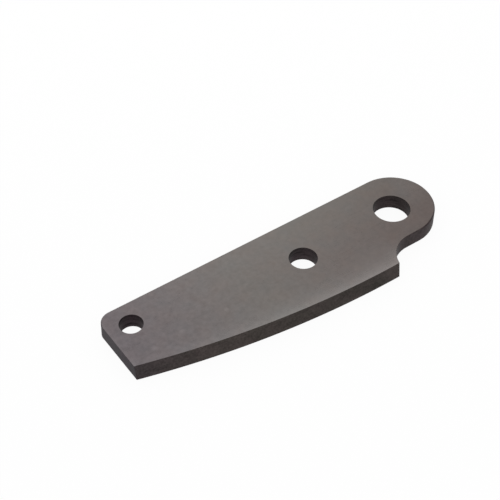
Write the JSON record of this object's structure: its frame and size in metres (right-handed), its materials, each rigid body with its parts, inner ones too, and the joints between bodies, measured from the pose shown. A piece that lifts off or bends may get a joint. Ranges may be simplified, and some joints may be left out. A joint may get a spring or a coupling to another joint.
{
  "type": "shear blade",
  "caption": "Flat steel blade for a hand lever shear, with a bowed cutting edge, a relieved flank, a straight back, a round nose on a notched neck and through holes for its pivot and bolts.",
  "frame": {"origin": "on the axis of the pivot hole in the nose, in the flat shear face on the underside", "axes": "+X along the straight back edge from the tail towards the round nose, +Y from the cutting edge towards the back edge, +Z from the shear face to the seat face"},
  "size_m": [0.1756, 0.0528, 0.008],
  "materials": {
    "ground_tool_steel": "satin dark grey ground faces on hardened tool steel, with darker walls and bores"
  },
  "bodies": {
    "root": {"blade": "ground_tool_steel"}
  },
  "joints": []
}
